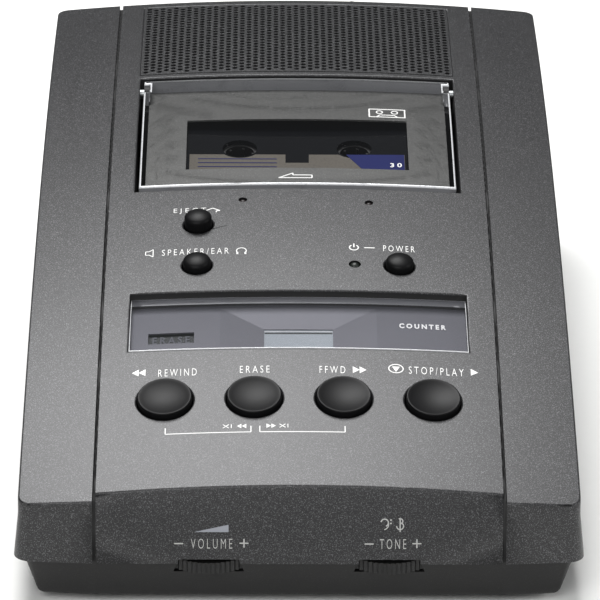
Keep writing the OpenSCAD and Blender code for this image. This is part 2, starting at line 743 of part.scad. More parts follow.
module supply_hub() color([0.9, 0.9, 0.88]) hub(-hub_x);
module takeup_hub() color([0.9, 0.9, 0.88]) hub(hub_x);

module tape_pack(x, r) at([x, hub_y], tape_z - tape_t / 2 - 1.9) ring(r, 5, 3.8);

module supply_tape() color([0.2, 0.12, 0.09]) tape_pack(-hub_x, 10.3);
module takeup_tape() color([0.2, 0.12, 0.09]) tape_pack(hub_x, 7);

// ---------- keys, buttons and wheels ----------

// Domed button, or dished key when dish is above 0, with its flange and stem under the deck
module push_cap(d, up, dish, stem_z) {
    top_r = d;
    difference() {
        intersection() {
            translate([0, 0, -3]) cylinder(r = d / 2, h = 3 + up, $fn = 72);
            if (dish == 0) translate([0, 0, up - top_r]) sphere(r = top_r, $fn = 96);
            if (dish > 0) translate([0, 0, -3]) cylinder(r = d / 2, h = 3 + up, $fn = 72);
        }
        if (dish > 0) translate([0, 0, up - dish + 18.6]) sphere(r = 18.6, $fn = 96);
    }
    translate([0, 0, -wall - 1.3]) cylinder(r = d / 2 + 1.2, h = 1.2, $fn = 72);
    translate([0, 0, stem_z]) cylinder(r = 1.6, h = -wall - stem_z, $fn = round_fn);
}

module transport_key(i) color([0.14, 0.14, 0.15]) on_deck(keys_x[i], key_y)
    push_cap(key_d, key_up, 0.8, -8.4);

module rewind_key() transport_key(0);
module erase_key() transport_key(1);
module forward_key() transport_key(2);
module play_key() transport_key(3);

module small_button(x, y, up, stem_z) color([0.12, 0.12, 0.12]) on_deck(x, y)
    push_cap(button_d, up, 0, stem_z);

module eject_button() small_button(eject_xy[0], eject_xy[1], eject_up, -12.6);
module speaker_button() small_button(-button_x, button_y, button_up, -7.4);
module power_button() small_button(button_x, button_y, button_up, -7.4);

// Knurled wheel with a stub shaft that turns in its potentiometer
module thumb_wheel(x) color([0.16, 0.16, 0.16]) translate([x, wheel_cy(), 0]) {
    ribs = 60;
    translate([0, 0, seam_z - 0.3 - wheel_t]) linear_extrude(wheel_t) polygon([for (i = [0:2 * ribs - 1])
        let (r = wheel_d / 2 - (i % 2) * 0.35, a = 180 * i / ribs) [r * cos(a), r * sin(a)]]);
    translate([0, 0, foot_h + 3.4]) cylinder(r = 2, h = seam_z - wheel_t - foot_h - 3, $fn = round_fn);
}

module volume_wheel() thumb_wheel(-wheel_x);
module tone_wheel() thumb_wheel(wheel_x);

// ---------- rear sockets ----------

// Socket body standing on the main board, with its bore facing the rear
module socket_body(x, w, top, y0) translate([x, 0, 0])
    slab(w / 2, y0, half_l - 5.6, main_z + board_t, top);

module headphone_socket() color([0.1, 0.1, 0.1]) difference() {
    union() {
        socket_body(-30, 11, socket_z + 5, 80);
        translate([-30, 0, socket_z]) bar_y(2.9, 90, half_l - 1.2);
    }
    translate([-30, 0, socket_z]) bar_y(1.8, half_l - 15.2, half_l);
}

module dc_inlet() color([0.1, 0.1, 0.1]) {
    difference() {
        union() {
            socket_body(30, 10, socket_z + 5.4, 82);
            translate([30, 0, socket_z]) bar_y(3.4, 90, half_l - 1.2);
        }
        translate([30, 0, socket_z]) bar_y(2.8, half_l - 10.2, half_l);
    }
    translate([30, 0, socket_z]) bar_y(0.9, half_l - 11, half_l - 2.2);
}

module foot_control_socket() color([0.1, 0.1, 0.1]) difference() {
    union() {
        socket_body(0, 18, din_z + 9, 82);
        translate([0, 0, din_z]) bar_y(7.1, 90, half_l - 1.2);
    }
    translate([0, 0, din_z]) bar_y(5.9, half_l - 9, half_l);
    for (a = [-90:45:90]) translate([4 * sin(a), 0, din_z - 4 * cos(a)]) bar_y(0.6, half_l - 15, half_l);
}

// ---------- assembly ----------

upper_case();
lower_case();
speaker_grille();
case_screws();
rubber_feet();
display_lens();
display_mask();
lcd_module();
erase_lamp();
power_lamp();
status_lamps();
key_board();
key_switches();
main_board();
board_chips();
capacitors();
potentiometers();
ribbon_cable();
speaker_frame();
speaker_cone();
speaker_magnet();
deck_plate();
deck_screws();
motor();
flywheel_bearing();
drive_belt();
headphone_socket();
foot_control_socket();
dc_inlet();
lid_latch();
lid_cover();
lid_mask();
cassette_holder();
lid_hinge_pins();
cassette_top();
cassette_bottom();
cassette_label();
supply_hub();
takeup_hub();
supply_tape();
takeup_tape();
flywheel();
capstan();
motor_pulley();
supply_spindle();
takeup_spindle();
idler_wheel();
head_plate();
tape_head();
erase_head();
pinch_roller();
eject_button();
speaker_button();
power_button();
rewind_key();
erase_key();
forward_key();
play_key();
volume_wheel();
tone_wheel();
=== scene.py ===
# %% [markdown]
# # A desk-top microcassette dictation machine
# The engineering model of the machine is already packed, and this script gives it its looks.
# All lengths are metres and +Z is up.

# %% Load the frame
import math

import bmesh
import bpy
from mathutils import Matrix, Quaternion, Vector


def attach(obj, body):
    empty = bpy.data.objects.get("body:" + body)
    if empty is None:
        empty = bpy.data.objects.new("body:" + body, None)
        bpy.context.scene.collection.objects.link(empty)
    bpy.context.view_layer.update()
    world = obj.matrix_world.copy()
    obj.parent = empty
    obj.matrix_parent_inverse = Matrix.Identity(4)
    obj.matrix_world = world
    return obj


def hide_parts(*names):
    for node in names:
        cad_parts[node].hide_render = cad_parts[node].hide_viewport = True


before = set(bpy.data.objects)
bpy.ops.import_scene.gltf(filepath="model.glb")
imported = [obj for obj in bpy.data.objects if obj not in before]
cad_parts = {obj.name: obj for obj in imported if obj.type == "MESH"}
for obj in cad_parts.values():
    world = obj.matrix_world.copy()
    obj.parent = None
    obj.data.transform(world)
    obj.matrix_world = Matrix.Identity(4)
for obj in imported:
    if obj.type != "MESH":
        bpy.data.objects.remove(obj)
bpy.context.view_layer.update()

# %% [markdown]
# ## Numbers shared with the engineering model
# The top of the machine is one very large, shallow dome, like a piece cut from a ball of
# 564 mm radius. Three frames of reference sit on it: the deck itself, the tilted lid over the
# cassette, and the display window, whose glass is tipped back a little flatter than the deck.

# %% Surfaces and frames
MM = 0.001
DECK_R = 564.0                          # radius of the dome, mm
DECK_C = Vector((0.0, 90.0, -505.0))    # its centre, mm
LENS_TIP = math.radians(4.8)            # the display glass is tipped back by this angle
LENS_Y0 = -56.8                         # front edge of the display glass


def deck_z(x, y, radius=DECK_R):
    """Height of the deck above the desk at x, y, all in mm."""
    return DECK_C.z + math.sqrt(radius ** 2 - x ** 2 - (y - DECK_C.y) ** 2)


def on_deck(x, y, up=0.0):
    """Frame on the deck at x, y in mm, with +Z along the surface's normal."""
    tip = math.asin((DECK_C.y - y) / DECK_R)
    roll = math.asin(x / (DECK_R * math.cos(tip)))
    turn = Matrix.Rotation(roll, 4, "Y") @ Matrix.Rotation(tip, 4, "X")
    return Matrix.Translation(DECK_C) @ turn @ Matrix.Translation((0, 0, DECK_R + up))


LID = Matrix.Translation((0, 26.5, 54.779)) @ Matrix.Rotation(math.radians(6.5135), 4, "X")
LENS_PIVOT = Vector((0, LENS_Y0, deck_z(0, LENS_Y0)))
LENS_TURN = (Matrix.Translation(LENS_PIVOT) @ Matrix.Rotation(-LENS_TIP, 4, "X")
             @ Matrix.Translation(-LENS_PIVOT))
LENS_C = LENS_TURN @ DECK_C             # centre of the display glass's own dome


def lens_z(x, y, up=0.0):
    """Height of the display glass at x, y in mm, raised by up."""
    return LENS_C.z + math.sqrt((DECK_R + up) ** 2 - x ** 2 - (y - LENS_C.y) ** 2)


print("deck height at its middle:", round(deck_z(0, 0), 2), "mm")

# %% [markdown]
# ## Camera
# The machine is seen from in front and above with a long lens, so its sides barely converge.

# %% Camera
PITCH, YAW, ROLL = (math.radians(a) for a in (24.0, 0.471, 0.352))
look = Vector((math.sin(YAW) * math.cos(PITCH), math.cos(YAW) * math.cos(PITCH), -math.sin(PITCH)))
camera = bpy.data.objects.new("camera", bpy.data.cameras.new("camera"))
camera.data.lens = 270
camera.data.sensor_width = 36
camera.data.clip_end = 20
camera.rotation_mode = "QUATERNION"
camera.rotation_quaternion = look.to_track_quat("-Z", "Y") @ Quaternion((0, 0, 1), ROLL)
camera.location = Vector((-6.78, -903.96, 427.63)) * MM
bpy.context.scene.collection.objects.link(camera)
bpy.context.scene.camera = camera
print("camera is", round(camera.location.length, 3), "m from the middle of the machine")

# %% [markdown]
# ## Materials: one colour function and one node function
# Colours are written as the hex values a paint chart gives, and one function turns them into
# the linear numbers that the renderer adds up. One function adds any node with its inputs.

# %% Colour and node helpers


def linear(hex_colour):
    """Linear RGBA from an sRGB hex string."""
    parts = [int(hex_colour[i:i + 2], 16) / 255 for i in (0, 2, 4)]
    return [p / 12.92 if p <= 0.04045 else ((p + 0.055) / 1.055) ** 2.4 for p in parts] + [1.0]


def add(material, kind, inputs=None, **settings):
    """Add a node; inputs maps socket names or numbers to a value or to another node's output."""
    node = material.node_tree.nodes.new(kind)
    for key, value in settings.items():
        setattr(node, key, value)
    for socket, value in (inputs or {}).items():
        if isinstance(value, bpy.types.NodeSocket):
            material.node_tree.links.new(value, node.inputs[socket])
        else:
            node.inputs[socket].default_value = value
    return node


def start(name):
    """A new node material with nothing in it, and the object coordinates in millimetres."""
    material = bpy.data.materials.new(name)
    material.use_nodes = True
    material.node_tree.nodes.clear()
    place = add(material, "ShaderNodeTexCoord").outputs["Object"]
    scale = add(material, "ShaderNodeVectorMath", {0: place, 1: (1000, 1000, 1000)},
                operation="MULTIPLY")
    return material, scale.outputs[0]


def end(material, shader):
    """Connect the last shader to the surface."""
    add(material, "ShaderNodeOutputMaterial", {"Surface": shader.outputs[0]})
    return material


# %% [markdown]
# ## Moulded and painted plastics
# The deck is ABS sprayed with a charcoal paint that holds fine pale flakes, so it glitters a
# little and its grain is about a quarter of a millimetre. The tray below is bare ABS with a
# spark-eroded grain. The keys are ABS too, polished to a satin. One recipe makes them all: a
# base colour broken up by fine grain, a slow drift over centimetres, and a bump of the grain.

# %% Plastics


def plastic(name, base, fleck, fleck_share=0.3, grain=0.3, bump=0.25, rough=0.42, metal=0.0,
            drift=0.06, spread=0.1, coat=0.0, shine=0.5):
    """ABS with flecks of another colour; grain is their size in mm, shine the mirror share."""
    material, place = start(name)
    fine = add(material, "ShaderNodeTexNoise", {"Vector": place, "Scale": 1 / grain,
                                                "Detail": 2.0, "Roughness": 0.6})
    slow = add(material, "ShaderNodeTexNoise", {"Vector": place, "Scale": 1 / 40, "Detail": 3.0})
    flecks = add(material, "ShaderNodeMapRange", {0: fine.outputs[0], 1: 0.62 - fleck_share / 4,
                                                  2: 0.74 - fleck_share / 4, 3: 0.0, 4: 1.0})
    mixed = add(material, "ShaderNodeMix", {0: flecks.outputs[0], 6: linear(base),
                                            7: linear(fleck)}, data_type="RGBA")
    tone = add(material, "ShaderNodeMapRange", {0: slow.outputs[0], 1: 0.3, 2: 0.7,
                                                3: 1 - drift, 4: 1 + drift})
    tinted = add(material, "ShaderNodeMix", {0: 1.0, 6: mixed.outputs[2], 7: tone.outputs[0]},
                 data_type="RGBA", blend_type="MULTIPLY")
    worn = add(material, "ShaderNodeMapRange", {0: fine.outputs[0], 1: 0.3, 2: 0.7,
                                                3: rough - spread / 2, 4: rough + spread / 2})
    relief = add(material, "ShaderNodeBump", {"Strength": bump, "Distance": 0.05 * MM,
                                              "Height": fine.outputs[0]})
    return end(material, add(material, "ShaderNodeBsdfPrincipled", {
        "Base Color": tinted.outputs[2], "Roughness": worn.outputs[0], "Metallic": metal,
        "Specular IOR Level": shine, "Coat Weight": coat, "Coat Roughness": 0.15,
        "Normal": relief.outputs[0]}))


DECK_PAINT = plastic("charcoal_flake_paint_on_ABS", "272728", "626264", fleck_share=0.34,
                     grain=0.22, bump=0.30, rough=0.43, metal=0.3)
TRAY_ABS = plastic("spark_eroded_black_ABS", "1b1b1b", "2c2c2c", grain=0.25, bump=0.5, rough=0.6)
KEY_ABS = plastic("satin_black_ABS_keycap", "0e0e0f", "161617", grain=0.15, bump=0.12,
                  rough=0.42, spread=0.05, shine=0.12)
# Bare black ABS; on the deck's opening walls and in its grooves this black is painted shade.
BLACK_ABS_AND_PAINTED_SHADE = plastic("matt_black_ABS_and_painted_shade", "0c0c0d", "171717", grain=0.3, bump=0.4, rough=0.65)
print("plastics:", [m.name for m in (DECK_PAINT, TRAY_ABS, KEY_ABS, BLACK_ABS_AND_PAINTED_SHADE)])

# %% [markdown]
# ## Clear, printed, metal and paper finishes
# The lid and the display are covered with clear acrylic. A thin clear plate mostly lets light
# straight through and mirrors a little of it, more at a glancing angle, so a transparent and
# a glossy shader mixed by Fresnel's law show it without noise. Behind the acrylic lies a grey
# screen-printed panel. The edges of the acrylic get painted light: a pale painted highlight on
# the rounded edges and a painted light grey on the walls, standing in for light carried inside
# the sheet. Inside are steel, brass, paper, black acetal and circuit board.

# %% Clear, printed and metal finishes


def clear(name, tint, ior=1.49, rough=0.04, haze=0.0):
    """Clear sheet: tint is what passes through, haze the share that scatters."""
    material, place = start(name)
    smear = add(material, "ShaderNodeTexNoise", {"Vector": place, "Scale": 1 / 12,
                                                 "Detail": 3.0})
    gloss_rough = add(material, "ShaderNodeMapRange", {0: smear.outputs[0], 1: 0.3, 2: 0.7,
                                                       3: rough * 0.6, 4: rough * 1.6})
    through = add(material, "ShaderNodeBsdfTransparent", {"Color": linear(tint)})
    dust = add(material, "ShaderNodeBsdfDiffuse", {"Color": linear("b9bcc0")})
    body = add(material, "ShaderNodeMixShader", {0: haze, 1: through.outputs[0],
                                                 2: dust.outputs[0]})
    mirror = add(material, "ShaderNodeBsdfAnisotropic", {"Color": linear("ffffff"),
                                                         "Roughness": gloss_rough.outputs[0]})
    front = add(material, "ShaderNodeNewGeometry").outputs["Backfacing"]
    share = add(material, "ShaderNodeMath", {
        0: add(material, "ShaderNodeFresnel", {"IOR": ior}).outputs[0],
        1: add(material, "ShaderNodeMath", {0: 1.0, 1: front}, operation="SUBTRACT").outputs[0],
    }, operation="MULTIPLY")
    return end(material, add(material, "ShaderNodeMixShader", {
        0: share.outputs[0], 1: body.outputs[0], 2: mirror.outputs[0]}))


def metal(name, colour, rough=0.3, scratch=0.4, lines=(1.0, 0.06, 1.0)):
    """Bare metal with fine drawn or turned lines about scratch mm apart."""
    material, place = start(name)
    stretch = add(material, "ShaderNodeMapping", {"Vector": place, "Scale": lines})
    fine = add(material, "ShaderNodeTexNoise", {"Vector": stretch.outputs[0],
                                                "Scale": 1 / scratch, "Detail": 3.0})
    uneven = add(material, "ShaderNodeMapRange", {0: fine.outputs[0], 1: 0.3, 2: 0.7,
                                                  3: rough * 0.7, 4: rough * 1.4})
    relief = add(material, "ShaderNodeBump", {"Strength": 0.2, "Distance": 0.02 * MM,
                                              "Height": fine.outputs[0]})
    shade = add(material, "ShaderNodeMix", {0: fine.outputs[0], 6: linear(colour),
                                            7: [c * 0.85 for c in linear(colour)[:3]] + [1]},
                data_type="RGBA")
    return end(material, add(material, "ShaderNodeBsdfPrincipled", {
        "Base Color": shade.outputs[2], "Metallic": 1.0, "Roughness": uneven.outputs[0],
        "Normal": relief.outputs[0]}))


def print_ink(name, colour, rough=0.5, shine=0.5):
    """A screen-printed ink film with slightly uneven cover."""
    return plastic(name, colour, colour, grain=0.12, bump=0.1, rough=rough, drift=0.05,
                   shine=shine)


LID_ACRYLIC = clear("clear_cast_acrylic", "ffffff", rough=0.03)
LENS_ACRYLIC = clear("faintly_smoked_acrylic", "f0f0f2", rough=0.03, haze=0.01)
# The rounded acrylic edges get a pale opaque colour: a painted highlight, in place of light
# carried inside the sheet.
PAINTED_EDGE_HIGHLIGHT = plastic("painted_highlight_acrylic_bevel", "dcdddf", "c4c6c9", grain=0.6, bump=0.02, rough=0.2,
                    coat=0.5)
# The acrylic walls get an opaque light grey as painted light, brightened to hide the shade and the
# dark gaps behind them.
PAINTED_LIGHT_ACRYLIC_WALL = plastic("painted_light_acrylic_wall", "88898c", "7c7d80", grain=2.5, bump=0.02,
                    rough=0.25, coat=0.5)
LID_PRINT = plastic("grey_metallic_screen_print", "4a4a49", "636362", fleck_share=0.4,
                    grain=0.2, bump=0.15, rough=0.42, metal=0.45)
PANEL_PRINT = plastic("smooth_grey_screen_print", "646468", "707074", fleck_share=0.2,
                      grain=0.2, bump=0.08, rough=0.45, metal=0.2)
# White print; the same ink makes the painted highlight line on the counter glass.
WHITE_INK_AND_HIGHLIGHT = print_ink("white_screen_ink_and_painted_highlight", "e9e9e7")
GREY_INK = print_ink("light_grey_screen_ink", "b4b4b2")
SOFT_GREY_INK = print_ink("blue_grey_screen_ink", "8f929a")
UNLIT_INK = print_ink("unlit_sign_film", "505257")
BLUE_INK = print_ink("deep_blue_offset_ink", "0c1650", shine=0.12)
# Dark film of the erase window; the same ink makes the painted shadow band on the counter glass.
DARK_FILM_AND_SHADOW_INK = print_ink("dark_green_window_film_and_painted_shadow", "20251f", 0.3)
LCD_GLASS = plastic("reflective_lcd_glass", "b0b8ba", "bac1c3", grain=0.3, bump=0.02,
                    rough=0.22, drift=0.05, coat=0.5)
RUBBER = plastic("black_nitrile_rubber", "151515", "202020", grain=0.5, bump=0.4, rough=0.75)
STEEL = metal("zinc_plated_steel", "a3a6a7", 0.46, 0.25, (1.0, 0.3, 1.0))
BRIGHT_STEEL = metal("ground_steel", "c9cacb", 0.22, 0.2)
BRASS = metal("turned_brass", "c9a45a", 0.25, 0.2)
BOARD = plastic("green_solder_mask", "0f4a26", "1d6a3a", grain=0.6, bump=0.2, rough=0.35)
CHIP = plastic("moulded_epoxy", "161616", "262626", grain=0.2, bump=0.2, rough=0.6)
SLEEVE = plastic("blue_shrink_sleeve", "1c2c5c", "22346c", grain=0.5, bump=0.05, rough=0.35)
RIBBON = plastic("white_pvc_ribbon", "cfcdc4", "bdbbb0", grain=0.6, bump=0.1, rough=0.5)
CONE = plastic("pressed_paper_cone", "1d1c1a", "33312d", grain=0.7, bump=0.6, rough=0.85)
# Black acetal for the spindles; on the tape hubs this black is painted shade.
BLACK_ACETAL_AND_PAINTED_SHADE = plastic("black_acetal_and_painted_shade", "0d0d0f", "141416", grain=0.5, bump=0.08, rough=0.35)
SMOKE_PS = plastic("smoke_black_polystyrene", "07080b", "0c0d12", grain=0.4, bump=0.03,
                   rough=0.14, spread=0.04)
# The label paper is a darker grey than the real paper; the extra darkness is painted shade under
# the lid.
PAPER_AND_PAINTED_SHADE = plastic("label_paper_and_painted_shade", "59554f", "504c47", grain=0.4, bump=0.25, rough=0.8,
                shine=0.2)
TAPE = plastic("brown_oxide_tape", "2a1a12", "3a251a", grain=0.15, bump=0.3, rough=0.3)
RED_LENS = plastic("dark_red_lamp_lens", "120505", "1a0808", grain=0.3, bump=0.02, rough=0.5)
GREEN_LENS = plastic("dark_green_lamp_lens", "0a120c", "0e1a12", grain=0.3, bump=0.02,
                     rough=0.45)
print("materials so far:", len(bpy.data.materials))

# %% [markdown]
# ## Turning a mesh into a piece
# Every new piece is built in millimetres, where its numbers are easy to read. One function
# turns it into metres, shades it, gives it its finish and lets it ride on its body.

# %% Piece helper


def piece(name, bm, body, material, stands_for=(), sharp=32.0):
    """Finish a bmesh in millimetres as an object that rides on a body of the machine."""
    bm.transform(Matrix.Scale(MM, 4))
    mesh = bpy.data.meshes.new(name)
    bm.to_mesh(mesh)
    bm.free()
    mesh.shade_smooth()
    mesh.set_sharp_from_angle(angle=math.radians(sharp))
    mesh.materials.append(material)
    obj = bpy.data.objects.new(name, mesh)
    bpy.context.scene.collection.objects.link(obj)
    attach(obj, body)
    if stands_for:
        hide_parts(*stands_for)
    print(f"{name}: {len(mesh.polygons)} faces")
    return obj


def cad_copy(node):
    """A merged copy of an engineering node's mesh, in millimetres."""
    bm = bmesh.new()
    bm.from_mesh(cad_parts[node].data)
    bm.transform(Matrix.Scale(1000, 4))
    bmesh.ops.remove_doubles(bm, verts=bm.verts, dist=0.002)
    bmesh.ops.dissolve_degenerate(bm, edges=bm.edges, dist=0.002)
    return bm


def sharp_edges(bm, chosen, least=28.0):
    """Edges that turn by more than least degrees and whose middle passes chosen."""
    return [e for e in bm.edges if len(e.link_faces) == 2
            and e.calc_face_angle(0.0) > math.radians(least)
            and chosen((e.verts[0].co + e.verts[1].co) / 2)]


def soften(bm, edges, width, segments=2):
    """Round the given edges over a width in mm and return the faces made."""
    return bmesh.ops.bevel(bm, geom=edges, offset=width, offset_type="OFFSET",
                           segments=segments, profile=0.5, affect="EDGES", material=-1,
                           clamp_overlap=False, loop_slide=True)["faces"]


def lathe(profile, place, steps=64):
    """Spin (radius, height) points round +Z, put the solid in place, and return its bmesh."""
    bm = bmesh.new()
    verts = [bm.verts.new((r, 0, z)) for r, z in profile]
    edges = [bm.edges.new(pair) for pair in zip(verts, verts[1:])]
    bmesh.ops.spin(bm, geom=verts + edges, cent=(0, 0, 0), axis=(0, 0, 1),
                   angle=2 * math.pi, steps=steps, use_merge=True)
    bmesh.ops.remove_doubles(bm, verts=bm.verts, dist=1e-4)
    bmesh.ops.recalc_face_normals(bm, faces=bm.faces)
    bm.transform(place)
    return bm


# %% [markdown]
# ## Upper shell
# The upper half of the case is one moulding: domed deck, slightly flared walls, a nose that
# leans back, and two grooves from front to rear. The engineering mesh has the exact openings,
# so a copy of it is used and its sharp outside edges are rounded as a mould would leave them.
# The dome is shaded with the true direction of its sphere, so that its long flat triangles
# reflect the light as one smooth surface.

# %% Upper shell


def near_dome(point, radius=DECK_R, reach=0.06):
    """Whether a point in mm lies on the dome's surface."""
    return abs((point - DECK_C).length - radius) < reach


GROOVE_X, GROOVE_HALF = 41.2, 0.34      # place and reach of the two long grooves, mm
LAMPS = ((-11.9, -4.5), (15.4, -5.4), (12.0, -28.6))    # holes too small to round
LAMP_REACH = 2                          # how near a lamp an edge counts as its own, mm
ROUND = 0.35                            # width of the mould's rounded edges, mm
PAINT_DEPTH = 0.42                      # how far the paint reaches over a rounded edge, mm
SIDE_X, BACK_Y, NOSE_Y = 55.2, 98.2, -95.2      # past these the outside walls are painted


def to_round(p):
    """Whether an edge at p is one that the mould rounds."""
    small = any(math.hypot(p.x - x, p.y - y) < LAMP_REACH for x, y in LAMPS)
    return near_dome(p) and not small and abs(abs(p.x) - GROOVE_X) > 0.5


shell = cad_copy("upper_case")
rim = sharp_edges(shell, to_round)
print("edges to round on the deck:", len(rim))
soften(shell, rim, ROUND, 2)
upper = piece("upper_shell", shell, "case", DECK_PAINT, ("upper_case",), 35.0)


def painted(p):
    """Whether a point in mm gets the deck paint; elsewhere the black is bare ABS and painted
    shade.
    """
    in_groove = abs(abs(p.x) - GROOVE_X) < GROOVE_HALF and not near_dome(p, DECK_R, 0.05)
    outside = abs(p.x) > SIDE_X or p.y > BACK_Y or p.y < NOSE_Y
    return (near_dome(p, DECK_R, PAINT_DEPTH) or outside) and not in_groove


# Black on the walls of the openings and in the grooves is painted shade; on the underside it is
# bare ABS.
upper.data.materials.append(BLACK_ABS_AND_PAINTED_SHADE)
for face in upper.data.polygons:
    face.material_index = 0 if painted(face.center / MM) else 1


def true_dome(obj, centre, radius, reach=0.07):
    """Give the faces that lie on a dome the dome's own normals."""
    mesh, normals = obj.data, []
    centre = centre * MM
    for face in mesh.polygons:
        corners = [mesh.vertices[v].co for v in face.vertices]
        on_it = all(abs((c - centre).length / MM - radius) < reach for c in corners)
        on_it = on_it and face.normal.dot((corners[0] - centre).normalized()) > 0.99
        normals += [(c - centre).normalized() if on_it else Vector() for c in corners]
    mesh.normals_split_custom_set(normals)


true_dome(upper, DECK_C, DECK_R)

# %% [markdown]
# ## Lower tray
# The tray is bare black ABS and sits a little inside the upper shell, so that a dark line
# shows all round. Its lower edges are already rounded; the rest are only eased.

# %% Lower tray
tray = cad_copy("lower_case")
soften(tray, sharp_edges(tray, lambda p: p.z < 2.0 or p.z > 11.0, 40.0), 0.2, 1)
piece("lower_tray", tray, "case", TRAY_ABS, ("lower_case",), 35.0)

# %% [markdown]
# ## Speaker grille
# Over the speaker the deck is pierced by about eleven hundred round holes in rows that are
# staggered from column to column. One cell, a rectangle with an eight-sided hole, is copied
# down a column, the column is copied across with every second one shifted by half a pitch,
# and the flat sheet is then laid on the dome and given its thickness.

# %% Speaker grille
COLUMNS, ROWS = 45, 25
PITCH_X, PITCH_Y = 1.565, 1.6
HOLE_R = 0.62
SNAP = 1.3                              # lifts the cosine of 45 degrees over one half
GRILLE_X, GRILLE_Y0, GRILLE_Y1 = 35.6, 54.8, 95.8
FIRST_Y = (GRILLE_Y0 + GRILLE_Y1 - ROWS * PITCH_Y) / 2


def add_cell(bm, x, y):
    """One pierced cell of the grille, its middle at x, y."""
    hole = bmesh.ops.create_circle(bm, segments=8, radius=HOLE_R)["verts"]
    edge = bmesh.ops.create_circle(bm, segments=8, radius=1.0)["verts"]
    for v in edge:                      # the eight corners snap to a rectangle's outline
        v.co.x = PITCH_X / 2 * round(v.co.x * SNAP)
        v.co.y = PITCH_Y / 2 * round(v.co.y * SNAP)
    rims = {e for v in hole + edge for e in v.link_edges}
    bmesh.ops.bridge_loops(bm, edges=list(rims))
    bmesh.ops.translate(bm, verts=hole + edge, vec=(x, y, 0))


def add_plain(bm, x0, x1, y0, y1):
    """A plain strip of the grille sheet."""
    made = bmesh.ops.create_grid(bm, x_segments=1, y_segments=1, size=0.5)["verts"]
    bmesh.ops.scale(bm, verts=made, vec=(x1 - x0, y1 - y0, 1))
    bmesh.ops.translate(bm, verts=made, vec=((x0 + x1) / 2, (y0 + y1) / 2, 0))


grille = bmesh.new()
for shift, rows in ((0.0, ROWS), (0.5, ROWS - 1)):
    column = bmesh.new()
    for row in range(rows):
        add_cell(column, 0, FIRST_Y + (row + 0.5 + shift) * PITCH_Y)
    if shift:
        top = FIRST_Y + ROWS * PITCH_Y
        for x0 in (-PITCH_X / 2, 0):
            add_plain(column, x0, x0 + PITCH_X / 2, FIRST_Y, FIRST_Y + PITCH_Y / 2)
            add_plain(column, x0, x0 + PITCH_X / 2, top - PITCH_Y / 2, top)
    bmesh.ops.remove_doubles(column, verts=column.verts, dist=0.01)
    strip = bpy.data.meshes.new("strip")
    column.to_mesh(strip)
    column.free()
    for index in range(COLUMNS):
        if (index % 2 == 0) == (shift == 0.0):
            before = len(grille.verts)
            grille.from_mesh(strip)
            grille.verts.ensure_lookup_table()
            bmesh.ops.translate(grille, verts=grille.verts[before:],
                                vec=((index - (COLUMNS - 1) / 2) * PITCH_X, 0, 0))
    bpy.data.meshes.remove(strip)
bmesh.ops.remove_doubles(grille, verts=grille.verts, dist=0.01)
for axis, low, high in ((0, -GRILLE_X, GRILLE_X), (1, GRILLE_Y0, GRILLE_Y1)):
    span = [v.co[axis] for v in grille.verts]
    lowest, highest = min(span), max(span)
    for v in grille.verts:
        if abs(v.co[axis] - lowest) < 0.01:
            v.co[axis] = low + 0.02
        elif abs(v.co[axis] - highest) < 0.01:
            v.co[axis] = high - 0.02
for v in grille.verts:
    v.co.z = deck_z(v.co.x, v.co.y)
bmesh.ops.recalc_face_normals(grille, faces=grille.faces)
if sum(f.normal.z for f in grille.faces) < 0:
    bmesh.ops.reverse_faces(grille, faces=grille.faces)
bmesh.ops.solidify(grille, geom=list(grille.faces), thickness=1.5)
print("holes in the grille:", sum(ROWS - c % 2 for c in range(COLUMNS)))
grille_obj = piece("pierced_grille", grille, "case", DECK_PAINT,
                   ("speaker_grille",), 40.0)
true_dome(grille_obj, DECK_C, DECK_R, 0.03)

# %% [markdown]
# ## Transport keys and push buttons
# The four large keys are round caps with a shallow dish for a fingertip and a tight rim. The
# three small buttons have a low dome, and the eject button stands tallest. Both kinds are
# turned shapes, so each is a short profile spun round the normal of the deck at its place.
# Both also have a hidden flange, which stops them under the deck, and a stem.

# %% Keys and buttons
FLANGE_W, FLANGE_TOP, FLANGE_FOOT = 1.2, -3.0, -3.7
STEM_R, KEY_FOOT, EJECT_FOOT, BUTTON_FOOT = 1.6, -8.4, -12.6, -7.4


def under_deck(radius, foot):
    """The hidden end of a cap's profile: skirt, flange and stem down to foot."""
    return [(radius, FLANGE_TOP), (radius + FLANGE_W, FLANGE_TOP),
            (radius + FLANGE_W, FLANGE_FOOT), (STEM_R, FLANGE_FOOT), (STEM_R, foot), (0, foot)]


KEY_R, KEY_UP, DISH = 5.6, 1.2, 0.8
DISH_R = 18.6                           # radius of the ball that presses the dish
KEY_Y, KEY_PITCH = -71.8, 18.3
key_profile = [(0, KEY_UP - DISH)]
for r in (1.3, 2.6, 3.9, 4.7, 5.2):
    key_profile.append((r, KEY_UP - DISH + DISH_R - math.sqrt(DISH_R ** 2 - r ** 2)))
key_profile += [(5.4, 1.17), (5.52, 1.1), (5.58, 1.0), (KEY_R, 0.85)]
key_profile += under_deck(KEY_R, KEY_FOOT)
for index, key in enumerate(("rewind", "erase", "forward", "play")):
    x = (index - 1.5) * KEY_PITCH
    piece(f"{key}_keycap", lathe(key_profile, on_deck(x, KEY_Y), 96), key, KEY_ABS,
          (f"{key}_key",), 50.0)

